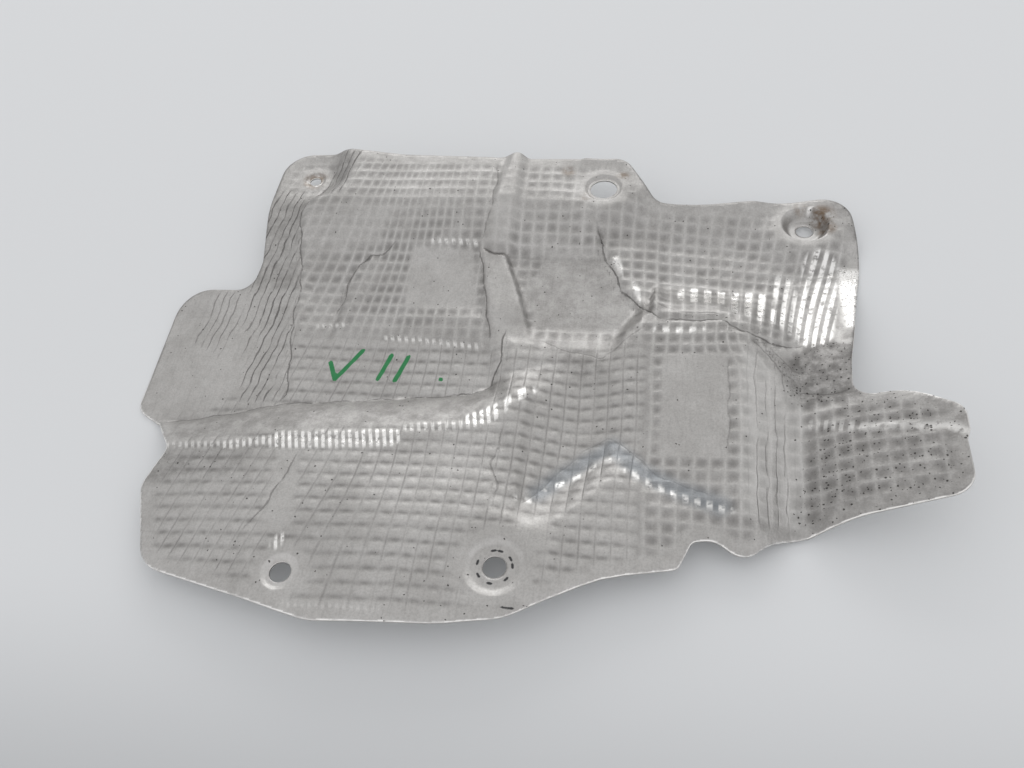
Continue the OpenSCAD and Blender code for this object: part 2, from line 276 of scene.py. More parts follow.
foot_level = float(np.min(folded(edge[:, 0], edge[:, 1])))
for name, (cx, cy, level, *_) in SEATS.items():
    beneath = float(pressed(np.array([cx]), np.array([cy]))[0])
    print(name, "seat level", level, "and the pressed sheet there", round(beneath, 2))
print("lowest point of the folded sheet in mm:", round(foot_level, 3))

# %% [markdown]
# The sheet starts as a fine flat grid. Cells whose middle lies outside the outline are deleted, and the
# ragged border is then drawn onto the outline, which gives a smooth cut without any sliver faces.
# A boolean cut would also work, but it leaves long thin faces that the dimples would show up.

# %% A flat grid, and the tools that trim it
CELL = 1.22


def nearest_on(points, line, closed=True):
    """Distance, nearest point and side of each point, against a chain of straight pieces."""
    best = np.full(len(points), np.inf)
    foot = np.zeros((len(points), 2))
    side = np.zeros(len(points))
    ends = np.roll(line, -1, axis=0) if closed else line[1:]
    for a, b in zip(line, ends):
        d = b - a
        length2 = d @ d
        if length2 < 1e-12:
            continue
        t = np.clip(((points - a) @ d) / length2, 0, 1)
        near = a + t[:, None] * d
        dist = np.hypot(*(points - near).T)
        closer = dist < best
        best = np.where(closer, dist, best)
        foot = np.where(closer[:, None], near, foot)
        turn = d[0] * (points[:, 1] - a[1]) - d[1] * (points[:, 0] - a[0])
        side = np.where(closer, np.sign(turn), side)
    return best, foot, side


def inside(points, line):
    """True for each point that a closed line encloses."""
    count = np.zeros(len(points), int)
    for a, b in zip(line, np.roll(line, -1, axis=0)):
        if a[1] == b[1]:
            continue
        spans = (a[1] > points[:, 1]) != (b[1] > points[:, 1])
        cross = a[0] + (b[0] - a[0]) * (points[:, 1] - a[1]) / (b[1] - a[1])
        count += spans & (points[:, 0] < cross)
    return count % 2 == 1


def plan(verts):
    """Plan coordinates of some vertices, as an array."""
    return np.array([v.co.xy for v in verts], float).reshape(-1, 2)


low, high = edge.min(0) - CELL, edge.max(0) + CELL
columns, rows = (int(math.ceil(n / CELL)) for n in high - low)
sheet = bmesh.new()
bmesh.ops.create_grid(sheet, x_segments=columns, y_segments=rows, size=0.5)
grid_size = Vector((columns * CELL, rows * CELL, 1))
bmesh.ops.scale(sheet, vec=grid_size, verts=sheet.verts[:])
bmesh.ops.translate(sheet, vec=Vector((*((low + high) / 2), 0)), verts=sheet.verts[:])
print("grid of", columns, "by", rows, "cells")


# %% Trim the grid to the outline and open the seats
def drop_faces(mesh, keep):
    """Deletes the faces that keep says no to, and any vertex left loose."""
    faces = mesh.faces[:]
    centres = np.array([f.calc_center_median().xy for f in faces], float)
    gone = [f for f, stays in zip(faces, keep(centres)) if not stays]
    bmesh.ops.delete(mesh, geom=gone, context="FACES")


def border(mesh):
    """Vertices on the mesh's open edges."""
    return [v for v in mesh.verts if v.is_boundary]


drop_faces(sheet, lambda c: inside(c, edge))
# A corner cell that hangs on by one vertex would pinch the border
pinched = [v for v in sheet.verts if sum(e.is_boundary for e in v.link_edges) > 2]
bmesh.ops.delete(sheet, geom=pinched, context="VERTS")
rim_verts = border(sheet)
_, feet, _ = nearest_on(plan(rim_verts), edge)
for v, foot in zip(rim_verts, feet):
    v.co.xy = foot

RING_GAP = 0.6
outer_rim = set(rim_verts)
seat_loops = {}
for name, (cx, cy, _, _, _, rim_r, _) in SEATS.items():
    ring_r = rim_r + RING_GAP
    drop_faces(sheet, lambda c: np.hypot(c[:, 0] - cx, c[:, 1] - cy) > ring_r)
    cut_verts = [v for v in border(sheet) if v not in outer_rim]
    loop = [v for v in cut_verts if math.hypot(v.co.x - cx, v.co.y - cy) < ring_r + 2 * CELL]
    loop.sort(key=lambda v: math.atan2(v.co.y - cy, v.co.x - cx))
    first = math.atan2(loop[0].co.y - cy, loop[0].co.x - cx)
    for i, v in enumerate(loop):
        angle = first + 2 * math.pi * i / len(loop)
        v.co.xy = (cx + ring_r * math.cos(angle), cy + ring_r * math.sin(angle))
    seat_loops[name] = loop
print("seat rings:", {name: len(loop) for name, loop in seat_loops.items()})

# %% [markdown]
# A round punch presses each seat, so its loops are circles. The ring's edge is extruded again and again,
# and each new loop is drawn in to the next radius of the seat's section.


# %% Rings of each seat, from the rim in to the hole
def seat_radii(floor_r, rim_r, hole_r, rings=4):
    """Radii of a seat's loops: rim, slope, floor and hole."""
    slope = [rim_r + (floor_r - rim_r) * k / rings for k in range(rings + 1)]
    floor = [floor_r + (hole_r - floor_r) * k / rings for k in range(1, rings + 1)]
    return slope + floor


for name, (cx, cy, _, _, floor_r, rim_r, hole_r) in SEATS.items():
    loop = set(seat_loops[name])
    edges = [e for e in sheet.edges if e.is_boundary and e.verts[0] in loop and e.verts[1] in loop]
    for radius in seat_radii(floor_r, rim_r, hole_r):
        grown = bmesh.ops.extrude_edge_only(sheet, edges=edges)["geom"]
        for v in (g for g in grown if isinstance(g, bmesh.types.BMVert)):
            arm = Vector((v.co.x - cx, v.co.y - cy))
            v.co.xy = Vector((cx, cy)) + arm * (radius / arm.length)
        edges = [g for g in grown if isinstance(g, bmesh.types.BMEdge) and g.is_boundary]
print("faces after the seats:", len(sheet.faces))

# %% Even out the cells beside the cut edge
SEAT_CLEAR = 2
EVEN_PASSES = 2


def clear_of_seats(v):
    """True where a vertex lies well outside the rim of every seat."""
    return all(
        math.hypot(v.co.x - cx, v.co.y - cy) > rim_r + SEAT_CLEAR
        for cx, cy, _, _, _, rim_r, _ in SEATS.values()
    )


fixed = set(border(sheet))
near_cut = [v for v in sheet.verts if v not in fixed and any(e.other_vert(v) in fixed for e in v.link_edges)]
outer = [v for v in near_cut if clear_of_seats(v)]
for _ in range(EVEN_PASSES):
    bmesh.ops.smooth_vert(
        sheet, verts=outer, factor=0.5, use_axis_x=True, use_axis_y=True, use_axis_z=False
    )
bmesh.ops.dissolve_degenerate(sheet, dist=0.05, edges=sheet.edges[:])
print("vertices evened:", len(outer))

# %% [markdown]
# Every detail below is a function of the plan place of a vertex. Arrays from numpy hold them all at
# once, which is quick, and lets one line of code bend fifty thousand points.

# %% Plan places of all vertices
places = plan(sheet.verts)
px, py = places.T
edge_d, _, _ = nearest_on(places, edge)
print("vertices:", len(px))

# %% [markdown]
# The dimples form a grid of 6 mm. Where the die drew the sheet, the grid was drawn with it, so its
# lines lean. `lattice` turns a plan place into dimple counts along the two directions. A whole number
# is a line of the grid, and a half is the middle of a dimple. The same two numbers go to the shader,
# which sharpens the dimples beyond the mesh.

# %% The dimple grid
PITCH = 6.0
LEAN_LEFT = 0.23
LEAN_FLANGE = 0.2
WAVE_X, WAVE_Y = 0.5, 0.35


def lattice(x, y):
    """Dimple counts along and across the sheet, drawn sideways where the die drew the metal."""
    left = across(-60 - x, 60)
    flange = across(x - 95, 60) * across(y - 14, 20)
    u = x - LEAN_LEFT * left * (y + 20) + LEAN_FLANGE * flange * (90 - y)
    u = u + WAVE_X * np.sin(y / 11 + 0.6) * np.sin(x / 37)
    v = y + WAVE_Y * np.sin(x / 14) + 1.2 * ease((x - 90) / 60) * np.sin(y / 30)
    return u / PITCH, v / PITCH


def pit(count, sharp):
    """1 in the middle of a dimple and 0 on the grid's line, with the line narrower as sharp falls."""
    return np.abs(np.sin(math.pi * count)) ** sharp


grid_u, grid_v = lattice(px, py)
print("columns of dimples:", round(float(np.ptp(grid_u))), "rows:", round(float(np.ptp(grid_v))))

# %% [markdown]
# The die stretched the metal most on its steep slopes. There the rows of dimples ran into one another, and
# only the lines between the columns are left, as upright bars. Where the die pressed hard against the
# sheet, it flattened the dimples again, so fields of the sheet are smooth.


# %% On a steep slope the dimples were pulled into upright bars
PIT_SHARP = 0.8


def slope_of(share):
    """1 halfway up a slope, and 0 at its foot and its crest."""
    return ease(3.2 * share * (1 - share))


strip_bars = slope_of(strip_share(px, py)) * across(-6 - px, 12)
ridge_bars = slope_of(ridge_share(px, py)) * across(px - 62, 8)
bars = np.maximum(strip_bars, ridge_bars)
dimple = pit(grid_u, PIT_SHARP) * (bars + (1 - bars) * pit(grid_v, PIT_SHARP))
print("share of the sheet with bars:", round(float(bars.mean()), 2))

# %% Where the rollers' dimples were pressed flat again: corners of the field, share
SMOOTH = [
    ([(-57, 41), (-22, 41), (-28, 74), (-58, 76)], 1.0),
    ([(-8, 34), (20, 30), (52, 30), (47, 48), (39, 70), (33, 76), (-9, 76), (-1, 52)], 1.0),
    (BAR, 0.95),
    (RIB, 0.5),
    ([(-112, 68), (-92, 72), (-74, 74), (-72, 96), (-116, 94)], 0.6),
    ([(-150, -40), (-100, -34), (-40, -29), (-8, -22), (-8, -2), (-50, -8), (-100, -13), (-150, -25)], 0.9),
    ([(-174, -24), (-136, -18), (-118, 0), (-118, 26), (-134, 46), (-174, 50)], 0.95),
    ([(-90, -82), (-76, -82), (-84, -42), (-93, -42)], 0.9),
    ([(12, -84), (25, -84), (24, -68), (12, -68)], 0.9),
    ([(64, -36), (91, -36), (91, 13), (64, 13)], 1.0),
    ([(139, 30), (152, 30), (154, 76), (142, 76)], 1.0),
    ([(110, -6), (140, -6), (140, 20), (118, 24), (108, 12)], 0.7),
]
RIM_WIDTH = 5.0
rough_share = ease((edge_d - 0.7 * RIM_WIDTH) / RIM_WIDTH) * (1 - 0.3 * across(py - 88, 14))
for corners, share in SMOOTH:
    rough_share = rough_share * (1 - share * ease((depth_in(px, py, corners) + 1.5) / 3))
for cx, cy, _, _, _, rim_r, _ in SEATS.values():
    rough_share = rough_share * ease((np.hypot(px - cx, py - cy) - rim_r - 2) / 4)
print("share of the sheet with dimples:", round(float(rough_share.mean()), 2))

# %% [markdown]
# On the right of the sheet the dimples are pits between bright ridges, and on the left they are
# pillows between thin grooves, because the die pulled the metal tight over its other side there.

# %% Pits on the right, pillows on the left
PIT_DEPTH, PILLOW_H = 0.36, 0.32
DIMPLE_MEAN = 0.4
pillow_share = across(-20 - px, 40) * across(20 - py, 50)
pillow_share = np.clip(pillow_share + across(20 - py, 20) * across(58 - px, 8), 0, 1)
pillow_share = pillow_share * (1 - bars)
relief = rough_share * (pillow_share * PILLOW_H - (1 - pillow_share) * PIT_DEPTH) * (dimple - DIMPLE_MEAN)
print("relief of the dimples in mm:", round(float(np.ptp(relief)), 2))

# %% [markdown]
# Where the sheet had metal to spare it gathered into fine wrinkles, closer together than the dimples, and
# the dimples nearly vanished. The wrinkles run from south to north, and they lean and waver.

# %% Fine wrinkles: corners of the field, share
WRINKLE_PITCH, WRINKLE_DEPTH, WRINKLE_LEAN = 3.8, 0.12, 0.16
DIMPLES_LOST = 0.75
WRINKLED = [
    ([(-136, 30), (-106, 20), (-112, 60), (-122, 112), (-142, 112), (-138, 60)], 1.0),
    ([(-124, -16), (-102, -12), (-106, 30), (-136, 36)], 0.9),
    ([(-112, 104), (-98, 104), (-92, 138), (-108, 138)], 0.9),
    ([(98, -66), (118, -62), (118, 4), (108, 20), (98, 20)], 0.5),
    ([(-160, 20), (-140, 10), (-134, 40), (-142, 50), (-156, 50)], 0.6),
]
wrinkle = np.zeros(len(px))
for corners, share in WRINKLED:
    wrinkle = np.maximum(wrinkle, share * ease((depth_in(px, py, corners) + 1) / 4))
wrinkle_lean = WRINKLE_LEAN * across(-80 - px, 20) * py
wrinkle_u = (px - wrinkle_lean + 0.3 * np.sin(py / 3.1) + 0.15 * np.sin(py / 1.7)) / WRINKLE_PITCH
rough_share = rough_share * (1 - DIMPLES_LOST * wrinkle)
relief = relief * (1 - DIMPLES_LOST * wrinkle) - WRINKLE_DEPTH * wrinkle * (1 - pit(wrinkle_u, 1.0))
print("share of the sheet with wrinkles:", round(float(wrinkle.mean()), 2))

# %% [markdown]
# Creases are lines where the metal folded over itself while it was drawn. Each is a chain of points,
# a depth and a width. Close to a crease the mesh is lowered, and the signed distance is stored, so
# that the shader can draw a line finer than the mesh.

# %% Creases, seen from above: points, depth, half width
CREASES = [
    ([(-108, 128), (-113, 108), (-120, 96), (-115, 74), (-110, 51), (-110, 34), (-106, 11), (-103, -8),
      (-105, -14)], 0.8, 1.6),
    ([(-156, -27), (-140, -23), (-122, -20), (-102, -13), (-86, -12), (-50, -8)], 0.7, 1.6),
    ([(-50, -8), (-19, -4), (-10, 0), (-7, 11), (-7, 30)], 0.9, 1.6),
    ([(-66, 79), (-72, 70), (-78, 70), (-84, 65), (-87, 56), (-87, 46), (-90, 35)], 0.7, 1.4),
    ([(31, 88), (34, 76), (39, 67), (44, 55), (50, 47), (58, 38), (63, 31)], 0.9, 1.5),
    ([(63, 31), (70, 32), (88, 31), (98, 25), (109, 21), (124, 22)], 0.9, 1.5),
    ([(57, 46), (62, 41), (70, 36), (84, 35), (92, 31), (100, 28)], 0.3, 1.1),
    ([(98, 25), (106, 16), (113, 8), (121, 3)], 0.55, 1.2),
    ([(102, 30), (110, 17), (118, 9), (126, 6)], 0.45, 1.2),
    ([(114, 1), (124, -3), (140, -4)], 0.7, 1.4),
    ([(7, 24), (19, 19), (37, 13), (45, 19), (54, 27), (57, 33)], 0.3, 1.2),
    ([(91.5, 13), (91.5, -12), (91.5, -36)], 0.4, 0.9),
    ([(1, -25), (-2, -45), (2, -56), (2, -69)], 0.5, 1.2),
    ([(-25, 76), (-17, 40), (-13, 22)], 0.6, 1.4),
    ([(-84, -43), (-87, -55), (-90, -68), (-97, -84)], 0.6, 1.2),
    ([(-22, 128), (-21, 110), (-22, 90), (-25, 76)], 0.45, 1.2),
    ([(12, -64), (25, -44), (34, -33), (44, -27), (57, -38), (65, -46), (81, -51), (87, -56)], 0.3, 1.3),
]
FAR = 3.0
END_FADE = 6
GROOVE_SHARE = 0.55
WAVER = 0.5
wave = np.stack([WAVER * np.sin(py / 2.7), WAVER * np.sin(px / 2.9)], axis=1)
crease_side = np.full(len(px), FAR)
crease_on = np.zeros(len(px))
groove = np.zeros(len(px))
for points, depth, half in CREASES:
    line = np.array(points, float)
    d, _, side = nearest_on(places + wave, line, closed=False)
    end_d = np.minimum(np.hypot(*(places - line[0]).T), np.hypot(*(places - line[-1]).T))
    strength = ease(end_d / END_FADE) * depth
    groove = np.maximum(groove, GROOVE_SHARE * strength * np.exp(-((d / half) ** 2)))
    shown = strength * ease((FAR - d) / 1.5)
    mine = (d < FAR) & (shown > crease_on)
    crease_side = np.where(mine, d * side, crease_side)
    crease_on = np.where(mine, shown, crease_on)
print("creases:", len(CREASES), "and the deepest groove in mm:", round(float(groove.max()), 2))

# %% [markdown]
# Dirt gathers where a sheet is handled and where the road throws it, so it is kept as soft patches, and
# painted shade on some walls and slopes is kept in the same patches. A painted blue reflection along the
# tent's slopes is kept as lines. The inspector's paint pen left a tick, two strokes and a dot. They are kept
# as a distance from the pen's path, so that the shader can give them a crisp edge, and so are the short
# dark bites round the bottom seat.


# %% Patches of dirt and painted shade, the painted blue reflection, and pen marks
def patches(fields, blend=6.0):
    """Strongest share of some soft-edged fields at each vertex."""
    total = np.zeros(len(px))
    for corners, share in fields:
        total = np.maximum(total, share * ease((depth_in(px, py, corners) + blend / 2) / blend))
    return total


# Dirt and painted shade: corners, share. The dish's north-east wall, the long step and the smooth field
# east of the bar are painted shade. The steep slope north of the right lobe is painted shade with dirt,
# and the rest are darker patches.
DIRT_AND_SHADE = [
    ([(112, -66), (180, -60), (180, -4), (140, -2), (124, -20)], 0.5),
    ([(114, -8), (143, -8), (143, 24), (126, 24), (112, 10)], 1.0),
    ([(139, 20), (152, 20), (152, 42), (138, 34)], 0.6),
    ([(140, 78), (156, 78), (156, 122), (136, 122), (130, 108), (140, 100)], 0.5),
    ([(128, 100), (140, 94), (142, 110), (130, 113)], 0.95),
    ([(-112, 128), (-100, 110), (-96, 142), (-118, 142)], 0.45),
    ([(-142, 50), (-112, 50), (-120, 104), (-142, 104)], 0.35),
    ([(-150, -60), (-112, -56), (-104, -42), (-146, -42)], 0.5),
    ([(12, 3), (42, 3), (38, 14), (14, 21)], 0.4),
    ([(-2, 34), (50, 30), (45, 50), (35, 74), (-4, 74)], 0.3),
    ([(-150, -40), (-100, -34), (-40, -29), (-8, -22), (-8, -2), (-50, -8), (-100, -13), (-150, -25)], 0.42),
    ([(40, 108), (60, 100), (100, 106), (100, 122), (40, 122)], 0.2),
]
# Painted blue reflection of the room on the tent's north slopes: points, half width, share
PAINTED_BLUE_REFLECTION = [
    ([(18, -56), (25, -47), (35, -38), (45, -32)], 3.6, 0.8),
    ([(45, -32), (57, -43), (70, -50), (88, -57)], 4.0, 0.8),
]
dirt_and_shade = patches(DIRT_AND_SHADE)


def stroke_distance(strokes):
    """Distance from the nearest stroke of a pen, whose path is a chain of points."""
    return np.min([nearest_on(places, np.array(path, float), closed=False)[0] for path in strokes], axis=0)


PEN_STROKES = [
    [(-86, 10), (-82, 1), (-72, 17)],
    [(-62, 2), (-58, 15)],
    [(-54, 1.5), (-50, 14.5)],
    [(-33, 3), (-33.2, 3.2)],
]
INK_STROKES = [[(10, -106.5), (13, -107.5), (15.5, -107)]]
BITE_R, BITE_SPREAD = 6.75, 6
BITE_ANGLES = (8, 34, 78, 100, 168, 214, 262, 318)
seat_x, seat_y = SEATS["bottom"][:2]
for angle in BITE_ANGLES:
    ends = [math.radians(angle - BITE_SPREAD), math.radians(angle + BITE_SPREAD)]
    bite = [(seat_x + BITE_R * math.cos(end), seat_y + BITE_R * math.sin(end)) for end in ends]
    INK_STROKES.append(bite)
pen = stroke_distance(PEN_STROKES)
ink = stroke_distance(INK_STROKES)
print("pen strokes:", len(PEN_STROKES), "ink marks:", len(INK_STROKES))

# %% [markdown]
# Where the sheet bends sharply to the north its slope mirrors the window, and each glint there is a painted
# highlight. Each glint is a line along such a bend, with a half width and a strength. Across the line the
# painted highlight shows as short bars, one or two to a dimple, and `bar_count` counts them along the sheet.

# %% Painted glints, lines of painted highlight: points, half width, share
PAINTED_GLINTS = [
    ([(-95, -38), (-70, -37), (-46, -35)], 4.2, 1.0),
    ([(-118, -41), (-105, -39), (-97, -38)], 2.2, 0.75),
    ([(-150, -42), (-128, -41), (-112, -40)], 1.4, 0.5),
    ([(-40, -29), (-26, -28), (-14, -26)], 2.0, 0.55),
    ([(-13, -24), (-8, -22), (-3, -18)], 4.0, 1.0),
    ([(0, -14), (3, -12), (9, -7)], 2.4, 1.0),
    ([(76, 52), (88, 51), (104, 52)], 7.0, 0.95),
    ([(97, 42), (106, 40), (117, 40)], 6.0, 0.9),
    ([(116, 66), (119, 50), (119, 34)], 5.5, 0.5),
    ([(134, 76), (131, 50), (127, 30)], 8.0, 0.75),
    ([(61, 27), (70, 26), (80, 26)], 1.5, 0.8),
    ([(40, 72), (45, 64), (50, 56), (55, 46)], 1.6, 0.7),
    ([(10, -60), (17, -60)], 0.9, 0.8),
    ([(21, -53), (29, -48), (36, -44), (42, -39), (47, -39)], 1.0, 0.9),
    ([(52, -44), (62, -50), (72, -54), (84, -57), (92, -59)], 1.1, 0.75),
    ([(-80.5, -88), (-79.5, -85)], 2.0, 0.9),
    ([(124, -17), (142, -22), (160, -24)], 2.0, 0.3),
    ([(160, -25), (170, -26), (176, -30)], 1.6, 0.5),
    ([(130, 110), (130.5, 111)], 0.7, 1.0),
    ([(-48, 78), (-36, 78), (-26, 77)], 1.0, 0.6),
    ([(-96, 30), (-84, 30)], 1.0, 0.5),
    ([(-62, 24), (-44, 23), (-18, 21)], 1.1, 0.6),
    ([(-72, -112), (-50, -112), (-34, -112)], 0.8, 0.2),
]
# A smooth field painted bright all over, a painted sheen: corners, share
PAINTED_SHEEN = [([(141, 34), (153, 34), (153, 77), (142, 77)], 0.85)]
# Lean of the bars against x, the y that they lean about, and their count against x
BAR_LEAN = ([-100, 0, 80, 112, 135], [-0.33, -0.20, 0.03, 0.12, 0.26])
BAR_PIVOT = ([20, 70], [-36, 50])
BAR_COUNT = ([-200, 0, 60, 112, 160], [0, 66.7, 76.7, 85.4, 97.4])


def beside(lines, soft=2.0):
    """Strongest share of some soft-edged lines at each vertex."""
    total = np.zeros(len(px))
    for points, half, share in lines:
        d, _, _ = nearest_on(places, np.array(points, float), closed=False)
        total = np.maximum(total, share * ease((half + soft / 2 - d) / soft))
    return total


# Painted highlight along each glint line
painted_glint = beside(PAINTED_GLINTS)
# Painted blue reflection of the room along the tent's slopes
painted_blue_reflection = beside(PAINTED_BLUE_REFLECTION, 6.0)
# Painted sheen over a smooth field
painted_sheen = patches(PAINTED_SHEEN, 3.0)
bar_x = px - np.interp(px, *BAR_LEAN) * (py - np.interp(px, *BAR_PIVOT))
bar_count = np.interp(bar_x, *BAR_COUNT)
print("rubbed lines:", len(PAINTED_GLINTS))

# %% [markdown]
# Washers kept the metal under them pale, and rust from the screws ran out beside some of the holes. A ring
# is given by its seat and two radii, and a stain by its middle and its radius. The pale bands are painted
# light, and the top of the near edge is a painted highlight, where a rounded edge catches the sky.

# %% Rings, stains and the painted highlight on the near edge
RING_SOFT = 0.8
# Rings: seat, inner radius, outer radius, share
PALE_RINGS = [
    ("corner", 3.4, 4.8, 1.0), ("left", 4.6, 7.6, 0.45), ("bottom", 9.6, 11.4, 0.4), ("dish", 4.2, 7.2, 1.0),
]
# Pale bands, painted light: corners, share
PALE_BANDS = [
    ([(97, -60), (119, -62), (121, 0), (97, 16)], 0.6),
    ([(-20, 78), (-10, 78), (-10, 126), (-22, 126)], 0.25),
]
# Stains: x, y, radius, share
STAINS = [
    (-119, 120, 6.2, 0.8), (41, 119, 3.0, 0.7), (14, 122, 3.5, 0.5), (24, 105, 3, 0.4),
    (136, 107, 5.5, 0.9), (138, 98, 4, 0.7), (126, 111, 3, 0.6),
]
pale = patches(PALE_BANDS)
for name, inner_r, outer_r, share in PALE_RINGS:
    r = np.hypot(px - SEATS[name][0], py - SEATS[name][1])
    pale = np.maximum(pale, share * across(r - inner_r, RING_SOFT) * across(outer_r - r, RING_SOFT))
stain = np.zeros(len(px))
for x, y, radius, share in STAINS:
    stain = np.maximum(stain, share * ease(1.4 - np.hypot(px - x, py - y) / radius))
# Painted highlight on the top of the near edge
lit_edge = ease(1 - edge_d) * across(10 - py, 60)
print("rings:", len(PALE_RINGS), "stains:", len(STAINS))
print("vertices on the worn edge:", int((lit_edge > 0.5).sum()))

# %% Heights of the folded, dimpled and creased sheet
height = folded(px, py) + relief - groove
for v, z in zip(sheet.verts, height):
    v.co.z = z
print("height of the sheet in mm:", round(float(np.ptp(height)), 2))

# %% [markdown]
# The sheet gets its thickness last. The Solidify modifier copies the top to the underside, with every
# dimple and crease, as a press does, and gives the cut edge a finish of its own.

# %% Metres, the part's own frame, and the thickness
bmesh.ops.recalc_face_normals(sheet, faces=sheet.faces[:])
if sum(f.normal.z for f in sheet.faces) < 0:
    bmesh.ops.reverse_faces(sheet, faces=sheet.faces[:])
bmesh.ops.translate(sheet, vec=Vector((-middle[0], -middle[1], SHEET_T - foot_level)), verts=sheet.verts[:])
bmesh.ops.scale(sheet, vec=Vector((MM, MM, MM)), verts=sheet.verts[:])
print("faces that look down:", sum(f.normal.z < 0 for f in sheet.faces))

mesh = bpy.data.meshes.new("heat_shield_sheet")
sheet.to_mesh(mesh)
sheet.free()
shield = bpy.data.objects.new("heat_shield_sheet", mesh)
bpy.context.scene.collection.objects.link(shield)
mesh.polygons.foreach_set("use_smooth", [True] * len(mesh.polygons))
wall = shield.modifiers.new("thickness", "SOLIDIFY")
wall.thickness = SHEET_T * MM
wall.offset = -1
wall.use_even_offset = False
wall.material_offset = 2
wall.material_offset_rim = 1
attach(shield, "root")
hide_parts("heat_shield")
one_side = sum(len(p.vertices) - 2 for p in mesh.polygons)
print("triangles on the top and the underside:", 2 * one_side)

# %% Numbers that the shader reads at each vertex
STORED = {
    "grid_u": grid_u, "grid_v": grid_v, "rough": rough_share, "pillow": pillow_share, "bars": bars,
    "crease_side": crease_side, "crease_on": crease_on, "wrinkle": wrinkle, "wrinkle_u": wrinkle_u,
    "lit_edge": lit_edge, "dirt_and_shade": dirt_and_shade, "painted_blue_reflection": painted_blue_reflection, "painted_glint": painted_glint, "painted_sheen": painted_sheen,
    "bar_count": bar_count, "pale": pale, "stain": stain, "pen": pen, "ink": ink,
}
for name, values in STORED.items():
    layer = mesh.attributes.new(name, "FLOAT", "POINT")
    layer.data.foreach_set("value", np.asarray(values, np.float32))
print("numbers kept at each vertex:", len(STORED))

# %% [markdown]
# The finish is one metal with many small differences. The rollers left a fine grain, and road salt
# dulled it and left dark specks. The ridges of the dimples and the glints are painted highlights, the
# pits, rows and lines are painted shade, and a blue reflection is painted on the tent's slopes. Each
# difference is a small change to the colour, the roughness or the bump of the same shader.

# %% Helpers that wire a shader
SPECK_TEAR_SCALE, SPECK_TEAR, SPECK_SOFT = 2.2, 0.55, 0.06


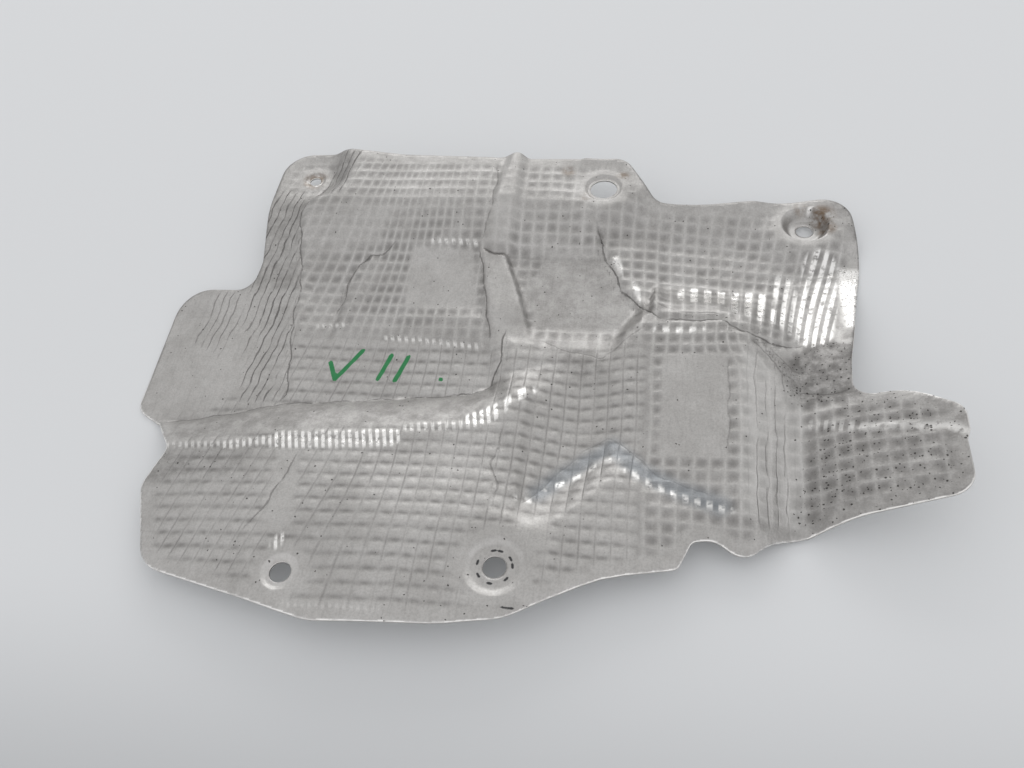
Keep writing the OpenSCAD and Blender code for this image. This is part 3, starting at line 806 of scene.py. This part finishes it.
class Wires:
    """Adds nodes to a material and links them."""

    def __init__(self, material):
        self.nodes = material.node_tree.nodes
        self.links = material.node_tree.links
        self.where = self.nodes.new("ShaderNodeTexCoord").outputs["Object"]

    def feed(self, socket, value):
        """Links an output to a socket, or sets the socket to a number or a colour."""
        if isinstance(value, bpy.types.NodeSocket):
            self.links.new(value, socket)
        else:
            socket.default_value = value

    def read(self, name):
        """A number stored at each vertex."""
        node = self.nodes.new("ShaderNodeAttribute")
        node.attribute_name = name
        return node.outputs["Fac"]

    def calc(self, operation, first, second=0.0, third=0.0, clamp=False):
        """One sum on numbers."""
        node = self.nodes.new("ShaderNodeMath")
        node.operation = operation
        node.use_clamp = clamp
        for socket, value in zip(node.inputs, (first, second, third)):
            self.feed(socket, value)
        return node.outputs[0]

    def fade(self, value, low, high, to_low=0.0, to_high=1.0):
        """Maps a stretch of values smoothly onto another."""
        node = self.nodes.new("ShaderNodeMapRange")
        node.interpolation_type = "SMOOTHSTEP"
        sockets = ("Value", "From Min", "From Max", "To Min", "To Max")
        for name, given in zip(sockets, (value, low, high, to_low, to_high)):
            self.feed(node.inputs[name], given)
        return node.outputs["Result"]

    def times(self, first, second, clamp=False):
        """The product of two numbers."""
        return self.calc("MULTIPLY", first, second, clamp=clamp)

    def scaled(self, size_mm, stretch=(1, 1, 1)):
        """The place on the sheet, counted in lumps of a size and stretched along some axes."""
        mapping = self.nodes.new("ShaderNodeMapping")
        mapping.inputs["Scale"].default_value = [1 / (size_mm * MM) / n for n in stretch]
        self.links.new(self.where, mapping.inputs["Vector"])
        return mapping.outputs["Vector"]

    def noise(self, size_mm, detail, roughness=0.55, stretch=(1, 1, 1)):
        """Noise whose lumps are about size_mm across, stretched along some axes."""
        node = self.nodes.new("ShaderNodeTexNoise")
        node.inputs["Scale"].default_value = 1.0
        node.inputs["Detail"].default_value = detail
        node.inputs["Roughness"].default_value = roughness
        self.links.new(self.scaled(size_mm, stretch), node.inputs["Vector"])
        return node.outputs["Fac"]

    def specks(self, size_mm, chance, width):
        """Specks with a sharp and ragged edge, one in some of the cells of a loose pattern."""
        place = self.scaled(size_mm)
        tear = self.nodes.new("ShaderNodeTexNoise")
        tear.inputs["Scale"].default_value = SPECK_TEAR_SCALE
        self.links.new(place, tear.inputs["Vector"])
        ragged = self.nodes.new("ShaderNodeVectorMath")
        ragged.operation = "MULTIPLY_ADD"
        self.links.new(tear.outputs["Color"], ragged.inputs[0])
        ragged.inputs[1].default_value = (SPECK_TEAR, SPECK_TEAR, 0)
        self.links.new(place, ragged.inputs[2])
        node = self.nodes.new("ShaderNodeTexVoronoi")
        node.voronoi_dimensions = "2D"
        node.inputs["Scale"].default_value = 1.0
        self.links.new(ragged.outputs["Vector"], node.inputs["Vector"])
        luck = self.nodes.new("ShaderNodeSeparateColor")
        self.links.new(node.outputs["Color"], luck.inputs["Color"])
        reach = self.times(luck.outputs["Green"], width)
        here = self.fade(self.calc("SUBTRACT", reach, node.outputs["Distance"]), 0.0, SPECK_SOFT)
        return self.times(here, self.calc("LESS_THAN", luck.outputs["Red"], chance))

    def mix(self, share, first, second):
        """Mixes two colours."""
        node = self.nodes.new("ShaderNodeMix")
        node.data_type = "RGBA"
        self.feed(node.inputs["Factor"], share)
        self.feed(node.inputs["A"], first)
        self.feed(node.inputs["B"], second)
        return node.outputs["Result"]

    def bump(self, height, distance_mm, under=None):
        """Turns a height into a normal, laid over another one if there is one."""
        node = self.nodes.new("ShaderNodeBump")
        node.inputs["Strength"].default_value = 1.0
        node.inputs["Distance"].default_value = distance_mm * MM
        self.feed(node.inputs["Height"], height)
        if under is not None:
            self.links.new(under, node.inputs["Normal"])
        return node.outputs["Normal"]


def principled(name):
    """A new material and its main shader."""
    material = bpy.data.materials.new(name)
    material.use_nodes = True
    return material, material.node_tree.nodes["Principled BSDF"]


# %% [markdown]
# The patterns come first. Each is a share from 0 to 1 at every point: pits, pillows, the grooves and rows
# between them, wrinkles, creases and the bright bars. Noise breaks all of them up, because hardly a line
# on a worn sheet is even.

# %% Worn aluminium: patterns from the stored numbers
METAL_LIGHT = (0.48, 0.47, 0.458, 1)
METAL_DULL = (0.41, 0.40, 0.388, 1)
METAL_DARK = (0.13, 0.125, 0.12, 1)
METAL_BRIGHT = (0.92, 0.91, 0.89, 1)
REFLECTION_BLUE = (0.21, 0.235, 0.26, 1)
RUST = (0.17, 0.12, 0.08, 1)
SPECK = (0.03, 0.027, 0.025, 1)
PEN_GREEN = (0.004, 0.17, 0.045, 1)
INK_BLACK = (0.015, 0.015, 0.017, 1)
PEN_HALF, PEN_SOFT = 1.05, 0.35
INK_HALF, INK_SOFT = 0.55, 0.4

metal, metal_bsdf = principled("worn_aluminium")
w = Wires(metal)


def wave_of(count):
    """0 on each whole count and 1 halfway."""
    return w.calc("ABSOLUTE", w.calc("SINE", w.times(count, math.pi)))


def line_of(count, wander, amount):
    """The same wave, with its lines made to wander a little."""
    return wave_of(w.calc("MULTIPLY_ADD", w.calc("SUBTRACT", wander, 0.5), amount, count))


wander = w.noise(9, 3, 0.55, stretch=(1, 3, 1))
torn = w.noise(4.5, 3, 0.6, stretch=(1, 5, 1))
patch = w.noise(6, 4, 0.65)
rough, pillow = w.read("rough"), w.read("pillow")
line_u = line_of(w.read("grid_u"), wander, 0.12)
row_v = line_of(w.read("grid_v"), wander, 0.25)
line_v = w.calc("MAXIMUM", row_v, w.read("bars"))
pit_share = w.calc("POWER", w.times(line_u, line_v), PIT_SHARP)
uneven = w.times(rough, w.fade(w.noise(17, 3, 0.6), 0.34, 0.62, 0.45, 1.0))
pitted = w.times(w.times(pit_share, uneven), w.calc("SUBTRACT", 1.0, pillow))
pillowed = w.times(uneven, pillow)
groove_u = w.times(w.fade(line_u, 0.0, 0.30, 1.0, 0.0), w.fade(torn, 0.36, 0.56, 0.35, 1.0))
# Painted highlight on the ridges between the columns of dimples
ridge_highlight = w.times(w.fade(line_u, 0.0, 0.7, 1.0, 0.0), w.calc("SUBTRACT", uneven, pillowed))
rows = w.times(w.fade(row_v, 0.05, 0.95, 1.0, 0.0), w.calc("MULTIPLY_ADD", line_u, 0.75, 0.25))
rows = w.times(rows, pillowed)
wrinkle_line = line_of(w.read("wrinkle_u"), torn, 1.0)
wrinkled = w.times(w.fade(wrinkle_line, 0.05, 0.42, 1.0, 0.0), w.fade(torn, 0.34, 0.56, 0.15, 1.0))
wrinkled = w.times(wrinkled, w.read("wrinkle"))
crease_at = w.calc("MULTIPLY_ADD", w.calc("SUBTRACT", w.noise(3.2, 3), 0.5), 1.6, w.read("crease_side"))
creased = w.times(w.fade(w.calc("ABSOLUTE", crease_at), 0.1, 0.6, 1.0, 0.0), w.read("crease_on"))
creased = w.times(creased, w.fade(patch, 0.32, 0.52, 0.35, 1.0), clamp=True)
grooved = w.times(w.times(groove_u, pillowed), 0.42)
lines = w.calc("MAXIMUM", w.calc("MAXIMUM", grooved, wrinkled), creased)
bar_line = wave_of(w.read("bar_count"))
bar_seen = w.times(w.fade(bar_line, 0.5, 0.88), w.fade(w.noise(2.6, 3, 0.6), 0.32, 0.52))
speckled = w.fade(w.noise(0.9, 3, 0.75), 0.40, 0.50)
# Painted highlight: the bars of the glint lines and the painted sheen, as one share
painted_shine = w.times(w.read("painted_glint"), bar_seen)
painted_shine = w.calc("MAXIMUM", painted_shine, w.times(w.read("painted_sheen"), speckled), clamp=True)
print("nodes for the patterns:", len(w.nodes))

# %% [markdown]
# Colour is built up like coats of paint. Clean metal lies lowest, and each coat covers a share of what is
# beneath it: painted shade in the pits, rows and lines, a painted highlight on the ridges, a painted blue
# reflection, dirt and painted shade, grain, pale rings and painted light bands, rust, painted glints and
# sheen, a painted highlight on the near edge, and specks. The pen and the ink come last, and they alone
# aren't metal.

# %% Worn aluminium: colour
blotch = w.noise(26, 4)
grain = w.noise(0.8, 3, 0.7)
streak = w.noise(1.0, 2, 0.5, stretch=(1, 12, 1))
# Dirt and painted shade, as one share
dirt_and_shade_share = w.read("dirt_and_shade")
dull = w.fade(w.calc("ADD", w.times(blotch, 0.6), w.times(patch, 0.4)), 0.38, 0.62)
soiled_and_shaded = w.times(dirt_and_shade_share, w.fade(patch, 0.3, 0.7, 0.25, 0.80))
rusted = w.times(w.read("stain"), w.fade(patch, 0.35, 0.6))
edge_highlight = w.times(w.fade(w.read("lit_edge"), 0.45, 0.95), w.fade(torn, 0.36, 0.56, 0.4, 1.0))
thrown = w.times(dirt_and_shade_share, w.fade(dirt_and_shade_share, 0.42, 0.52))
pit_dirt = w.times(thrown, w.calc("MULTIPLY_ADD", pitted, 1.3, 0.22))
fine_specks = w.specks(1.3, w.calc("MULTIPLY_ADD", pit_dirt, 0.9, 0.02), 0.34)
coarse_specks = w.specks(2.2, w.times(pit_dirt, 0.6), 0.20)
dots = w.calc("MAXIMUM", fine_specks, coarse_specks)
pen_edge = w.calc("MULTIPLY_ADD", grain, 0.3, w.read("pen"))
pen_share = w.fade(pen_edge, PEN_HALF, PEN_HALF + PEN_SOFT, 1.0, 0.0)
ink_edge = w.calc("MULTIPLY_ADD", grain, 0.5, w.read("ink"))
ink_share = w.fade(ink_edge, INK_HALF, INK_HALF + INK_SOFT, 1.0, 0.0)
# From the lowest coat to the top one: share, colour
COATS = [
    # Painted shade in the pits, and more of it where dirt and painted shade lie
    (w.times(pitted, 0.62), METAL_DARK),
    (w.times(w.times(pitted, dirt_and_shade_share), 0.40), METAL_DARK),
    # Painted highlight on the ridges
    (w.times(ridge_highlight, 0.08), METAL_BRIGHT),
    # Painted shade in the grooves between the rows of pillows, and along the lines and creases
    (w.times(rows, 0.60), METAL_DARK),
    (w.times(lines, 0.85), METAL_DARK),
    # Painted blue reflection on the tent's slopes
    (w.times(w.read("painted_blue_reflection"), 0.75), REFLECTION_BLUE),
    # Dirt, and painted shade on the dish wall, the long step and the fields beside the bar and the lobe
    (soiled_and_shaded, METAL_DARK),
    (w.fade(grain, 0.38, 0.72, 0.0, 0.22), METAL_DARK),
    (w.fade(streak, 0.48, 0.75, 0.0, 0.10), METAL_DARK),
    # Pale washer rings, and the pale bands, which are painted light
    (w.times(w.read("pale"), 0.30), METAL_BRIGHT),
    (rusted, RUST),
    # Painted highlight of the glints and the sheen
    (painted_shine, METAL_BRIGHT),
    # Painted highlight on the near edge
    (edge_highlight, METAL_BRIGHT),
    (w.times(dots, 0.85), SPECK),
    (pen_share, PEN_GREEN),
    (ink_share, INK_BLACK),
]
colour = w.mix(dull, METAL_LIGHT, METAL_DULL)
for share, paint in COATS:
    colour = w.mix(share, colour, paint)
w.feed(metal_bsdf.inputs["Base Color"], colour)
w.feed(metal_bsdf.inputs["Metallic"], w.calc("SUBTRACT", 1.0, w.calc("MAXIMUM", pen_share, ink_share)))
print("coats of colour:", len(COATS))

# %% [markdown]
# Dirt and painted shade take the gloss off, and the painted glints and sheen get it back. Relief that is
# finer than the mesh is laid on as bumps, from coarse to fine: the curve of the dimples, the lines, the
# rolled surface and its grain.

# %% Worn aluminium: gloss and fine relief
dullness =w.calc("MULTIPLY_ADD", dirt_and_shade_share, 0.10, w.fade(patch, 0.3, 0.7, 0.40, 0.50))
dullness = w.calc("MULTIPLY_ADD", painted_shine, -0.20, dullness)
w.feed(metal_bsdf.inputs["Roughness"], dullness)
dimple_height = w.calc("MULTIPLY_ADD", pillow, 1.7, -1.0)
dimple_height = w.times(w.times(dimple_height, pit_share), rough)
normal = w.bump(dimple_height, 0.16)
normal = w.bump(w.times(lines, -1.0), 0.28, under=normal)
normal = w.bump(w.noise(2.4, 4, 0.6), 0.14, under=normal)
normal = w.bump(grain, 0.06, under=normal)
w.feed(metal_bsdf.inputs["Normal"], normal)
mesh.materials.append(metal)

# %% [markdown]
# The cut edge shows fresh metal, because the die sheared it after the sheet was rolled. The underside is
# paler than the top, since dirt settles on what faces up. Both are plain metals without a pattern.

# %% The cut edge and the underside: name, colour, roughness
PLAIN_METALS = [
    ("cut_edge", (0.80, 0.78, 0.75, 1), 0.35),
    ("underside", (0.86, 0.85, 0.83, 1), 0.4),
]
for name, paint, roughness in PLAIN_METALS:
    plain, plain_bsdf = principled(name)
    plain_bsdf.inputs["Base Color"].default_value = paint
    plain_bsdf.inputs["Metallic"].default_value = 1.0
    plain_bsdf.inputs["Roughness"].default_value = roughness
    mesh.materials.append(plain)
print("materials on the sheet:", [material.name for material in mesh.materials])

# %% [markdown]
# The table is one flat plane. Its colour darkens towards the near side, a painted shade where less of the
# window's light arrives. A trace of light of its own, which only the camera sees, is a painted glow that
# lifts the table's shadows and the table seen through the holes.

# %% Stage: a pale table
table = bpy.data.meshes.new("table")
top = bmesh.new()
bmesh.ops.create_grid(top, x_segments=1, y_segments=1, size=3)
top.to_mesh(table)
top.free()
floor = bpy.data.objects.new("table", table)
bpy.context.scene.collection.objects.link(floor)
floor_paint, floor_bsdf = principled("table_top")
TABLE_FAR = (0.58, 0.59, 0.60, 1)
TABLE_NEAR = (0.345, 0.352, 0.36, 1)
NEAR_Y, FAR_Y = -0.24, -0.10
CAMERA_GLOW = 0.06
floor_wires = Wires(floor_paint)
axis = floor_wires.nodes.new("ShaderNodeSeparateXYZ")
floor_wires.links.new(floor_wires.where, axis.inputs["Vector"])
nearness = floor_wires.fade(axis.outputs["Y"], NEAR_Y, FAR_Y, 1.0, 0.0)
floor_wires.feed(floor_bsdf.inputs["Base Color"], floor_wires.mix(nearness, TABLE_FAR, TABLE_NEAR))
seen = floor_wires.nodes.new("ShaderNodeLightPath").outputs["Is Camera Ray"]
floor_bsdf.inputs["Emission Color"].default_value = (0.98, 1, 1.02, 1)
floor_wires.feed(floor_bsdf.inputs["Emission Strength"], floor_wires.times(seen, CAMERA_GLOW))
floor_bsdf.inputs["Roughness"].default_value = 0.9
table.materials.append(floor_paint)

# %% [markdown]
# A bare metal sheet shows what it mirrors, so the room matters as much as the lamps. The room is an even
# pale grey, a little darker to the north. Light comes from a wide window behind the part, in two lamps.
# The lower one shines in flat, and the steep slopes' bars catch it.

# %% Light
world = bpy.data.worlds.new("room")
bpy.context.scene.world = world
world.use_nodes = True
nodes, links = world.node_tree.nodes, world.node_tree.links
sky = nodes["Background"]
where = nodes.new("ShaderNodeTexCoord")
split = nodes.new("ShaderNodeSeparateXYZ")
links.new(where.outputs["Generated"], split.inputs["Vector"])
ramp = nodes.new("ShaderNodeValToRGB")
links.new(split.outputs["Y"], ramp.inputs["Fac"])
SKY = [(0.0, (0.98, 0.98, 0.99, 1)), (0.62, (0.80, 0.80, 0.80, 1))]
for stop, (position, tone) in zip(ramp.color_ramp.elements, SKY):
    stop.position = position
    stop.color = tone
links.new(ramp.outputs["Color"], sky.inputs["Color"])
sky.inputs["Strength"].default_value = 1.0


def soft_box(name, place, aim, size, radiance):
    """A rectangular lamp that looks at a point."""
    lamp = bpy.data.lights.new(name, "AREA")
    lamp.shape = "RECTANGLE"
    lamp.size, lamp.size_y = size
    lamp.energy = radiance * math.pi * size[0] * size[1]
    holder = bpy.data.objects.new(name, lamp)
    bpy.context.scene.collection.objects.link(holder)
    holder.location = place
    holder.rotation_euler = (Vector(aim) - Vector(place)).to_track_quat("-Z", "Y").to_euler()


soft_box("window", (-0.2, 2.5, 1.30), (0, 0, 0), (2.4, 0.85), 2.1)
soft_box("low_window", (-0.2, 2.6, 0.40), (0, 0, 0), (2.4, 0.5), 1.3)
print("lamps:", len(bpy.data.lights))

# %% [markdown]
# The camera stands about 0.4 m from the part and looks down at it from the south. Its place in the part's
# frame and its three directions were found by fitting the grid of dimples to the picture, and its focal
# length is counted in pixels of the picture's width.

# %% Camera
CAMERA_PLACE = Vector((64.563, -253.406, 333.844)) * MM
RIGHT = Vector((0.98595597, 0.12895633, -0.10611827))
DOWN = Vector((0.03986851, -0.79879383, -0.60028236))
FORWARD = Vector((-0.16217683, 0.5876212, -0.79271685))
SENSOR = 36.0
FOCAL_PX, FRAME_PX = 950, 1024
eye = bpy.data.cameras.new("camera")
eye.sensor_width = SENSOR
eye.lens = SENSOR * FOCAL_PX / FRAME_PX
eye.clip_start, eye.clip_end = 0.01, 20
camera = bpy.data.objects.new("camera", eye)
bpy.context.scene.collection.objects.link(camera)
turn = Matrix((RIGHT, -DOWN, -FORWARD)).transposed().to_4x4()
camera.matrix_world = Matrix.Translation(CAMERA_PLACE) @ turn
bpy.context.scene.camera = camera
bpy.context.scene.view_settings.view_transform = "Standard"
print("camera to the part's middle in mm:", round(CAMERA_PLACE.length / MM))

# %% [markdown]
